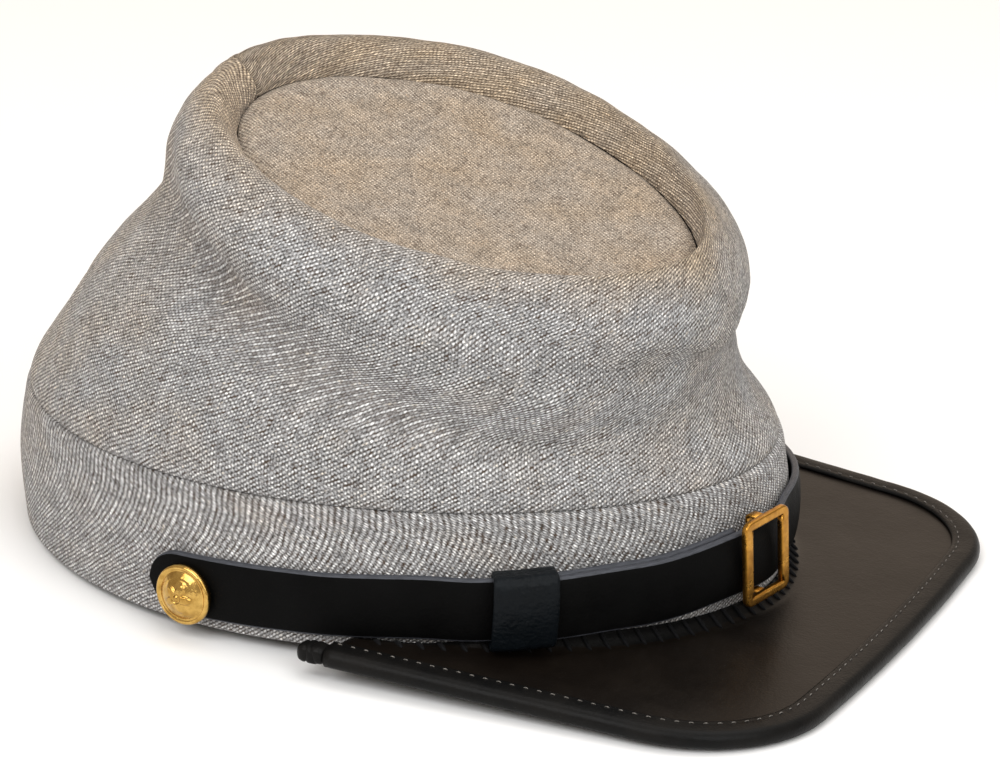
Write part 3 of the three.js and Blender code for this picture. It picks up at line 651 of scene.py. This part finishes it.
def crown_top():
    columns, rings = 200, 56
    edge = cap_point(np.arange(columns) * 360 / columns, np.full(columns, float(TIP_SEAM)))
    centre = edge.mean(0)
    forward, side = np.tan(np.radians(LEVELS[TIP_SEAM][4:6]))
    normal = unit(np.array([-side, -forward, 1.0]))
    spoke = edge - centre
    reach = np.linalg.norm(spoke, axis=-1) + 0.5
    shares = np.linspace(0.012, 1, rings) ** 0.85
    flat = centre + unit(spoke)[None] * (reach[None] * shares[:, None])[..., None]
    to_edge = reach[None] * (1 - shares[:, None])
    rise = CLOTH / 2 - 0.7 * (1 - shares[:, None] ** 2)
    rise = rise + 0.5 * bumpy(flat, 26, 3) + 0.2 * bumpy(flat, 8, 4)
    rise = rise - ridge(to_edge, 1.5, 1.9)
    top = flat + normal * rise[..., None]
    under = flat - normal * (CLOTH / 2)
    count = columns * rings
    cells, _ = quads(rings - 1, columns, columns)
    points = np.concatenate([top.reshape(-1, 3), under.reshape(-1, 3)])
    plan = points[:, :2]
    j = np.arange(columns)
    after = (j + 1) % columns
    last = (rings - 1) * columns
    rim = np.stack([last + j, last + j + count, last + after + count, last + after], -1)
    hub = np.arange(columns)[None, ::-1]
    groups = [
        (cells, plan[cells], 0),
        (cells[:, ::-1] + count, plan[cells[:, ::-1]], 1),
        (rim, plan[rim % count], 0),
        (hub[:, ::-1], plan[hub[:, ::-1]], 0),
        (hub + count, plan[hub], 1),
    ]
    piece = make_piece("crown_tip_cloth", points, groups, "crown_tip", [TIP_CLOTH, LINING])
    paint(piece, "tint_and_shade", 0.7)


def band_wall():
    columns, rows = 420, 44
    headings = np.arange(columns) * 360 / columns + 180
    levels = np.linspace(0, BAND_TOP, rows + 1)
    heading, level = np.meshgrid(headings, levels)

    def face(distance):
        points = cap_offset(heading, level, distance)
        front = 1 - smoothstep(points[..., 1], -97, -52)
        points[..., 2] -= np.maximum(1 - level, 0) * front * HEM_DIP
        return points

    base = face(np.zeros(heading.shape))
    height = LEVELS[BAND_TOP][1]
    up = level * height / BAND_TOP
    detail = 0.35 * bumpy(base, 19, 5) + 0.14 * bumpy(base, 7, 6)
    detail *= smoothstep(up, 18, 27)
    detail -= ridge(up, 0.8, HEM_GROOVE) + ridge(height - up, 0.45, HEM_GROOVE)
    detail += ridge(height - up - 3, 0.25, 2)
    outer = face(detail)
    inner = face(np.full(heading.shape, -CLOTH))
    closed = np.concatenate([base, base[:, :1]], 1)
    uv = np.stack([-arc_lengths(closed, 1), arc_lengths(closed, 0)], -1)
    piece = shell("band_cloth", outer, inner, uv, "band", [BAND_CLOTH, LINING], closed=True)
    paint(piece, "tint_and_shade", ridge(heading % 360 - 180, 0.45, 40))
    paint(piece, "pulled_and_painted_shade", 0.4 * smoothstep(heading % 360, 50, 95))


crown_half("crown_cloth_right", "crown_side_right", 0, 180)
crown_half("crown_cloth_left", "crown_side_left", 180, 360)
crown_top()
band_wall()

# ---- the visor

VISOR_THICKNESS = 2.0
VISOR_FRONT = 138.7
FRONT_RADIUS = 820
FRONT_SPAN = math.radians(3.65)
CORNER_RADIUS = 37
SIDE_SPAN = math.radians(84.3)
SIDE_END = -27
ROOT_HEADING = 72
ROOT_LEVEL = 0.15
BINDING_REACH = 7.4
BINDING_NOSE = 2.2
BINDING_SLACK = 0.3
BINDING_LEATHER_DEPTH = 1.0
NOSE_RADIUS = 2.3
PLATE_INSET = BINDING_NOSE + 0.2


def visor_top(y):
    return 1.6 + 0.064 * (y + 61.6)


def visor_outline(inset, spacing=2.0):
    """Plan points and outward directions along the visor's edge, right end to left end."""
    centre = np.array([0, -VISOR_FRONT + FRONT_RADIUS])
    to_corner = np.array([-math.sin(FRONT_SPAN), -math.cos(FRONT_SPAN)])
    corner = centre + (FRONT_RADIUS - CORNER_RADIUS) * to_corner
    stops = []
    for angle in np.linspace(0, FRONT_SPAN, int(FRONT_SPAN * FRONT_RADIUS / spacing), endpoint=False):
        stops.append((centre, FRONT_RADIUS, angle))
    for angle in np.linspace(FRONT_SPAN, SIDE_SPAN, int(50 / spacing)):
        stops.append((corner, CORNER_RADIUS, angle))
    points, outs = [], []
    for middle, radius, angle in stops:
        out = np.array([-math.sin(angle), -math.cos(angle)])
        points.append(middle + out * (radius - inset))
        outs.append(out)
    back = np.array([outs[-1][1], -outs[-1][0]])
    run = (SIDE_END - points[-1][1]) / back[1]
    tip, out = points[-1], outs[-1]
    count = int(run / spacing)
    for k in range(1, count + 1):
        points.append(tip + back * run * k / count)
        outs.append(out)
    points, outs = np.array(points), np.array(outs)
    flip = np.array([-1, 1])
    return np.concatenate([points[:0:-1], points * flip]), np.concatenate([outs[:0:-1], outs * flip])


LIP_HEIGHT = 3.2
LIP_REACH = 2.3
LIP_ROWS = 7
OVERCAST_COUNT = 50
OVERCAST_REACH = 3.6
OVERCAST_SLANT = 1.1


def lip_rise(heading, distance):
    """How far the plate turns up where it is sewn to the band, at a distance from its root."""
    share = 1 - smoothstep(np.abs(heading), 48, 66)
    return share * ridge(np.asarray(distance), LIP_HEIGHT, LIP_REACH)


def visor_plate():
    """The leather plate, with a lip along its root in black leather: partly its real dye, partly painted
    shade where the plate meets the band.
    """
    edge, _ = visor_outline(PLATE_INSET)
    columns = len(edge) - 1
    rows = 36
    headings = np.linspace(ROOT_HEADING, -ROOT_HEADING, columns + 1)
    root = cap_offset(headings, np.full(columns + 1, ROOT_LEVEL), np.full(columns + 1, 2 * GAP))[:, :2]
    share = np.linspace(0, 1, rows + 1)[:, None, None] ** 1.7
    plan = root[None] * (1 - share) + edge[None] * share
    flat = np.concatenate([plan, visor_top(plan[..., 1])[..., None]], -1)
    bow = (0.45 + 0.16 * bumpy(flat, 24, 8)) * np.sin(math.pi * share[..., 0])
    outer, inner = flat.copy(), flat.copy()
    lip = lip_rise(headings[None], np.linalg.norm(plan - root[None], axis=-1))
    outer[..., 2] += bow + lip
    inner[..., 2] -= VISOR_THICKNESS - lip
    piece = shell("visor_plate", outer, inner, plan, "visor", [VISOR_LEATHER])
    piece.data.materials.append(BINDING_LEATHER)
    # Painted shade: the lip's rows take the black binding leather, partly for the real dye and partly for
    # the shade under the joint with the band.
    dyed_and_shaded = np.zeros(len(piece.data.polygons), np.int32)
    dyed_and_shaded[:LIP_ROWS * columns] = 1
    piece.data.polygons.foreach_set("material_index", dyed_and_shaded)


def binding_section():
    """The folded strip's section: x outwards from the plate's edge, y up from its middle."""
    slot = VISOR_THICKNESS / 2 + BINDING_SLACK
    face = slot + BINDING_LEATHER_DEPTH
    inmost = BINDING_NOSE - BINDING_REACH
    top = [
        (0.35, slot), (inmost + 0.25, slot - 0.12), (inmost, slot + 0.2), (inmost + 0.1, face - 0.5),
        (inmost + 0.5, face - 0.12), (inmost + 1.1, face - 0.02), (inmost + 1.7, face - 0.1),
        (inmost + 2.3, face - 0.02), (inmost + 3.2, face + 0.06), (-1, face + 0.04),
    ]
    nose = [(BINDING_NOSE - NOSE_RADIUS + NOSE_RADIUS * math.sin(a), face * math.cos(a))
            for a in np.linspace(0.05, math.pi - 0.05, 13)]
    return np.array([*top, *nose, *[(x, -y) for x, y in reversed(top)]])


def visor_edge():
    points, outs = visor_outline(PLATE_INSET)
    section = binding_section()
    plan = points[:, None] + outs[:, None] * section[None, :, :1]
    height = visor_top(plan[..., 1]) - VISOR_THICKNESS / 2 + section[None, :, 1]
    rings = np.concatenate([plan, height[..., None]], -1)
    rings[..., 2] += 0.07 * bumpy(rings, 3.5, 9)
    tube("visor_edge_binding", rings, "visor_binding", [BINDING_LEATHER])


STITCH_INSET = 1.7
STITCH_PITCH = 3.3
STITCH_LENGTH = 1.4


def resample(points, spacing):
    run = arc_lengths(points, 0)
    count = int(run[-1] / spacing)
    at = (np.arange(count) + 0.5) * run[-1] / count
    return np.stack([np.interp(at, run, points[:, k]) for k in range(points.shape[1])], -1)


def binding_stitches():
    points, outs = visor_outline(PLATE_INSET - BINDING_NOSE + BINDING_REACH - STITCH_INSET)
    stops = resample(np.concatenate([points, outs], -1), STITCH_PITCH)
    paths = []
    for x, y, ox, oy in stops:
        along = np.array([-oy, ox])
        place = np.array([x, y])
        for face in (1, -1):
            run = []
            for share in np.linspace(-1, 1, 5):
                spot = place + along * STITCH_LENGTH / 2 * share
                middle = visor_top(spot[1]) - VISOR_THICKNESS / 2
                lift = VISOR_THICKNESS / 2 + BINDING_SLACK + BINDING_LEATHER_DEPTH + 0.04 - 0.32 * share**4
                run.append([*spot, middle + face * lift])
            paths.append(run)
    capsules("binding_stitches", paths, 0.14, PALE_THREAD)


def joint_stitches():
    """Overcast stitches that hold the visor's root to the band."""
    paths = []
    for heading in np.linspace(ROOT_HEADING - 3, -ROOT_HEADING + 3, OVERCAST_COUNT):
        run = []
        for share in np.linspace(0, 1, 8):
            distance = 0.1 + OVERCAST_REACH * (1 - share)
            slanted = np.array(heading + OVERCAST_SLANT * (share - 0.5))
            place = cap_offset(slanted, np.array(ROOT_LEVEL), np.array(2 * GAP + distance))
            arch = 0.25 * math.sin(share * math.pi)
            place[2] = visor_top(place[1]) + lip_rise(heading, distance) + 0.1 + arch
            run.append(place)
        paths.append(run)
    capsules("visor_joint_stitches", paths, 0.6, BLACK_THREAD, around=8)


def binding_fold(name, node, side):
    """The binding's end, gathered into a small knob with creases."""
    length, width, height = 7.0, 8.4, 5.0
    points, _ = visor_outline(BINDING_REACH / 2)
    place = points[0 if side < 0 else -1]
    middle = visor_top(place[1]) - VISOR_THICKNESS / 2
    centre = np.array([place[0], place[1] + 3 * GAP + length / 2, middle])
    rings = []
    for along in np.linspace(-1, 1, 29):
        bulge = (1 - abs(along) ** 3.2) ** (1 / 3.2) if abs(along) < 1 else 0.0
        bulge = max(bulge, 0.12)
        ring = []
        for angle in np.arange(36) * 2 * math.pi / 36:
            x = signed_power(np.cos(angle), 0.62) * (width / 2 - 1.2) * bulge
            z = signed_power(np.sin(angle), 0.62) * (height / 2 - 0.15) * bulge
            crease = ridge(along + 0.25 - 0.3 * math.sin(angle), 0.42, 0.09)
            crease += ridge(along - 0.4 - 0.2 * math.cos(angle), 0.35, 0.08)
            shrink = 1 - crease / max(math.hypot(x, z), 1.2)
            ring.append([x * shrink, along * (length / 2 - 0.1) - 1.5 * GAP * (1 - along), z * shrink])
        rings.append(ring)
    rings = np.array(rings) + centre
    tube(name, rings, node, [BINDING_LEATHER])


visor_plate()
visor_edge()
binding_stitches()
joint_stitches()
binding_fold("binding_fold_right", "binding_end_right", -1)
binding_fold("binding_fold_left", "binding_end_left", 1)

# ---- the chin strap

# Columns: heading, height of the lower edge, stand-off of the inner layer.
STRAP_PATH = np.array([
    [-106, 2.8, 0.4], [-75, 4.1, 0.4], [-45, 6.2, 0.4], [-8, 9.2, 0.8], [14, 8.3, 1.6],
    [34, 6.4, 2.3], [56, 4.9, 2.5], [64, 4.6, 0.6], [80, 3.7, 0.4], [106, 2.8, 0.4],
])
STRAP_WIDTH = 16.0
STRAP_LEATHER_DEPTH = 2.0
STRAP_END = 103.9
STRAP_TAIL = 47.5
STRAP_START = 15.5
STRAP_ROUND = 4.9
LYING = STRAP_LEATHER_DEPTH + 0.4
BUCKLE_HEADING = 11.5
BUCKLE_ROLL = math.radians(4)
BUCKLE_LIFT = 0.8
BUCKLE_THICKNESS = 1.8
BUCKLE_PLAY = 0.8
BUTTON_SIDES = 96


def strap_row(heading):
    heading = np.asarray(heading, float)
    after = np.clip(np.searchsorted(STRAP_PATH[:, 0], heading), 1, len(STRAP_PATH) - 1)
    first, second = STRAP_PATH[after - 1], STRAP_PATH[after]
    t = np.clip((heading - first[..., 0]) / (second[..., 0] - first[..., 0]), 0, 1)
    t = (t * t * (3 - 2 * t))[..., None]
    return (first + (second - first) * t)[..., 1:]


def strap_point(heading, height, distance):
    heading, height, distance = np.broadcast_arrays(heading, height, distance)
    z = strap_row(heading)[..., 0] + height
    points = cap_offset(heading, z / LEVELS[1][1], distance)
    points[..., 2] = z
    return points


def inner_stand_off(heading):
    return strap_row(heading)[..., 1]


def outer_stand_off(heading):
    return inner_stand_off(heading) + smoothstep(heading, BUCKLE_HEADING - 16, BUCKLE_HEADING - 2) * LYING


def strap_layer(name, node, start, end, stand_off, tip):
    """A run of strap between two headings. tip is the one of them where it ends round."""
    headings = np.linspace(start, end, int(abs(end - start) / 0.8) + 1)
    inward = STRAP_ROUND if tip == start else -STRAP_ROUND
    curve = tip + inward * (1 - np.cos(np.linspace(0, math.pi / 2, 9)))
    headings = np.sort(np.concatenate([curve, headings[np.abs(headings - tip) > STRAP_ROUND]]))
    away = np.maximum(1 - np.abs(headings - tip) / STRAP_ROUND, 0)
    spread = np.maximum(np.sqrt(np.clip(1 - away**2, 0, 1)), 0.1)
    section, _ = round_rectangle(STRAP_WIDTH, STRAP_LEATHER_DEPTH, 0.55, 4, (10, 2))
    heights = STRAP_WIDTH / 2 + section[None, :, 0] * spread[:, None]
    depth = section[None, :, 1] + STRAP_LEATHER_DEPTH / 2
    dome = np.where(section[:, 1] > 0, 0.3 * (1 - (2 * section[:, 0] / STRAP_WIDTH) ** 4) - 0.3, 0)
    distance = stand_off(headings)[:, None] + depth + dome[None]
    rings = strap_point(headings[:, None], heights, distance)
    rings[..., 2] += 0.12 * bumpy(rings, 14, 11)
    on_face = np.abs(section[:, 0]) < STRAP_WIDTH / 2 - 0.5
    ahead = np.roll(on_face, -1)
    number = np.where(on_face & ahead, 0, 1)
    tube(name, rings, node, [STRAP_LEATHER, STRAP_EDGE_AND_HIGHLIGHT], number=number)


def strap_loop():
    """The keeper: a leather loop round both layers of the strap."""
    middle, span, leather, bulge = 50.2, 9.0, 1.2, 0.4
    profile, _ = round_rectangle(span - 0.5, leather, 0.5, 4, (10, 2))
    rings = []
    back = float(inner_stand_off(middle)) - GAP
    front = float(outer_stand_off(middle)) + STRAP_LEATHER_DEPTH + bulge + GAP
    path, out = round_rectangle(STRAP_WIDTH + 2 * GAP, front - back, 0.9, 6, (14, 4))
    for (height, depth), (up, away) in zip(path, out):
        share = height / (STRAP_WIDTH / 2)
        swell = 0.35 * (1 - share**2) if depth > 0 else 0.0
        ring = []
        for turn, thick in profile:
            heading = middle + turn
            lift = thick + leather / 2
            middle_depth = (float(inner_stand_off(heading)) + float(outer_stand_off(heading))) / 2
            shift = middle_depth + (STRAP_LEATHER_DEPTH + bulge) / 2
            edge = 0.18 * (1 - (2 * turn / span) ** 2)
            stand_off = shift + depth + away * (lift + edge) + swell
            ring.append([heading, STRAP_WIDTH / 2 + height + up * lift, stand_off])
        rings.append(ring)
    rings = np.array(rings)
    points = strap_point(rings[..., 0], rings[..., 1], rings[..., 2])
    tube("chin_strap_loop", points, "strap_keeper", [KEEPER_LEATHER], closed=True)


def strap_frame(heading, distance, lift):
    """Origin and axes beside the strap's middle, lift above it: along the band, up, and out."""
    step = 2
    height = STRAP_WIDTH / 2 + lift
    origin = strap_point(heading, height, distance)
    ahead = strap_point(heading - step, height, distance)
    along = unit(ahead - strap_point(heading + step, height, distance))
    up = np.array([0, 0, 1.0])
    up = unit(up - along * up.dot(along))
    return origin, np.stack([along, up, np.cross(along, up)])


def in_strap_frame(points, heading, distance, lift, roll=0.0):
    origin, axes = strap_frame(heading, distance, lift)
    x, y, z = np.moveaxis(np.asarray(points, float), -1, 0)
    sine, cosine = math.sin(roll), math.cos(roll)
    return origin + np.stack([x * cosine - y * sine, x * sine + y * cosine, z], -1) @ axes


def strap_buckle():
    length, height, bar = 17.0, 22.5, 3.1
    face = float(outer_stand_off(BUCKLE_HEADING)) + STRAP_LEATHER_DEPTH + 2 * GAP
    path, out = round_rectangle(length - bar, height - bar, 0.9, 6, (10, 10))
    profile, _ = round_rectangle(bar - 0.1, BUCKLE_THICKNESS - 0.1, 0.55, 5, (4, 2))
    rings = []
    for (x, y), (ox, oy) in zip(path, out):
        slim = 1 - 0.22 * abs(oy)
        rings.append([])
        for a, b in profile:
            reach = a * slim + (1 - slim) * bar / 2
            rings[-1].append([x + ox * reach, y + oy * reach, b + BUCKLE_THICKNESS / 2])
    rings = in_strap_frame(rings, BUCKLE_HEADING, face, BUCKLE_LIFT, BUCKLE_ROLL)
    tube("buckle_frame", rings, "buckle", [BRASS], closed=True)
    reach = 2 * GAP + STRAP_LEATHER_DEPTH + BUCKLE_PLAY + BUCKLE_THICKNESS / 2
    half = STRAP_WIDTH / 2 + 2 * GAP + BUCKLE_LIFT + 0.6
    half_bar = [
        (-reach + 0.45, half - 1.1), (-reach + 0.55, half - 0.4), (-reach + 1.2, half), (0.6, half),
    ]
    stops = np.array([*[(z, -y) for z, y in reversed(half_bar)], (-reach + 0.45, 0), *half_bar])
    tangent = unit(np.gradient(stops, axis=0))
    rings = []
    oval, _ = round_rectangle(2.9, 0.85, 0.4, 4, (3, 1))
    for (z, y), (tz, ty) in zip(stops, tangent):
        rings.append([[a, y - tz * b, z + ty * b] for a, b in oval])
    rings = in_strap_frame(rings, BUCKLE_HEADING, face, BUCKLE_LIFT, BUCKLE_ROLL)
    tube("buckle_back_bar", rings, None, [BRASS])


def button(name, node, heading):
    """A domed button with a raised rim and a plain rosette."""
    radius, depth, drop = 7.6, 4.4, 1.6
    profile = [
        (0.0, 0.0), (radius - 1.0, 0.0), (radius - 0.3, 0.15), (radius - 0.02, 0.7),
        (radius - 0.02, 1.6), (radius - 0.25, 2.05), (radius - 0.65, 2.2), (radius - 1.05, 2.1),
        (radius - 1.35, 1.85), (radius - 1.6, 1.95),
    ]
    inner = radius - 1.6
    for share in np.linspace(1, 0.0, 26)[1:]:
        profile.append((inner * share, 1.95 + (depth - 2.1) * (1 - share**2.2)))
    rings = []
    for r, z in profile:
        r = max(r, 0.03)
        ring = []
        for angle in np.arange(BUTTON_SIDES) * 2 * math.pi / BUTTON_SIDES:
            share = r / inner
            relief = 0.0
            if z > 1.95 and share <= 0.98:
                petal = abs(math.cos(2.5 * angle + 0.3)) ** 1.6
                outline = smoothstep(0.3 + 0.36 * petal - share, -0.05, 0.08)
                relief = float(outline * smoothstep(share, 0.15, 0.24))
                relief += float(1 - smoothstep(share, 0.09, 0.15))
                relief += ridge(share - 0.82, 0.4, 0.03) * (0.7 + 0.3 * math.cos(30 * angle))
            ring.append([r * math.cos(angle), r * math.sin(angle), z + relief * 0.5])
        rings.append(ring)
    distance = float(inner_stand_off(abs(heading))) + STRAP_LEATHER_DEPTH + GAP
    tube(name, in_strap_frame(rings, heading, distance, -drop), node, [BUTTON_BRASS])


strap_layer("chin_strap_right", "strap_right", STRAP_START, STRAP_END, inner_stand_off, STRAP_END)
strap_layer("chin_strap_front", "strap_front", -STRAP_END, STRAP_TAIL, outer_stand_off, -STRAP_END)
strap_loop()
strap_buckle()
button("button_dome_right", "button_right", 97.4)
button("button_dome_left", "button_left", -97.4)

# ---- stage, light and camera


def pale_floor():
    reach = 4.0
    mesh = bpy.data.meshes.new("floor")
    corners = [(-reach, -reach, 0), (reach, -reach, 0), (reach, reach, 0), (-reach, reach, 0)]
    mesh.from_pydata(corners, [], [(0, 1, 2, 3)])
    floor = bpy.data.objects.new("floor", mesh)
    bpy.context.scene.collection.objects.link(floor)
    s = Shader("floor_paint", Roughness=0.9, Specular_IOR_Level=0.1)
    place = s.node("TexCoord").outputs["Object"]
    s.set("Base Color", s.mix(s.noise(place, 3.0), (0.9, 0.9, 0.9, 1), (0.93, 0.93, 0.93, 1)))
    mesh.materials.append(s.material)


def soft_light(name, azimuth, elevation, distance, size, power, colour):
    """A square softbox aimed at the cap. Azimuth 0 is in front of the cap, 90 at its left."""
    data = bpy.data.lights.new(name, "AREA")
    data.shape = "SQUARE"
    data.size = size
    data.energy = power
    data.color = colour
    light = bpy.data.objects.new(name, data)
    a, e = math.radians(azimuth), math.radians(elevation)
    away = Vector((math.sin(a) * math.cos(e), -math.cos(a) * math.cos(e), math.sin(e)))
    aim = Vector((0, 0, 0.05))
    light.location = aim + away * distance
    light.rotation_euler = away.to_track_quat("Z", "Y").to_euler()
    bpy.context.scene.collection.objects.link(light)


def room(colour, strength):
    world = bpy.data.worlds.new("room")
    world.use_nodes = True
    background = world.node_tree.nodes["Background"]
    background.inputs["Color"].default_value = colour
    background.inputs["Strength"].default_value = strength
    bpy.context.scene.world = world


def main_camera():
    azimuth, elevation, roll = (math.radians(v) for v in (-64.10, 19.69, 1.07))
    distance, target = 901.03, np.array([0, -26.18, 41.72])
    sensor = 36.0
    out = math.cos(elevation)
    back = np.array([math.sin(azimuth) * out, -math.cos(azimuth) * out, math.sin(elevation)])
    level = np.array([math.cos(azimuth), math.sin(azimuth), 0])
    up = np.cross(back, level)
    right = level * math.cos(roll) + up * math.sin(roll)
    up = up * math.cos(roll) - level * math.sin(roll)
    place = to_frame(target + back * distance)
    origin = to_frame(np.zeros(3))
    axes = [(to_frame(axis) - origin) * 1000 for axis in (right, up, back)]
    data = bpy.data.cameras.new("camera")
    data.sensor_width = sensor
    data.lens = 3.5767 * sensor
    camera = bpy.data.objects.new("camera", data)
    camera.matrix_world = Matrix.Translation(place) @ Matrix(np.array(axes).T).to_4x4()
    bpy.context.scene.collection.objects.link(camera)
    bpy.context.scene.camera = camera


pale_floor()
room((1.0, 0.9, 0.8, 1), 0.5)
# Azimuth and elevation in degrees, distance and size in metres, watts, colour.
soft_light("key", -101, 41, 1.5, 0.9, 11.2, (0.98, 0.99, 1.0))
soft_light("fill", -34, 34, 1.5, 1.1, 10.2, (0.94, 0.98, 1.0))
soft_light("top", 60, 78, 1.4, 1.2, 9.2, (0.98, 0.99, 1.0))
soft_light("back", 116, 24, 1.6, 1.5, 4.0, (1.0, 0.73, 0.51))
main_camera()
bpy.context.scene.view_settings.view_transform = "Standard"
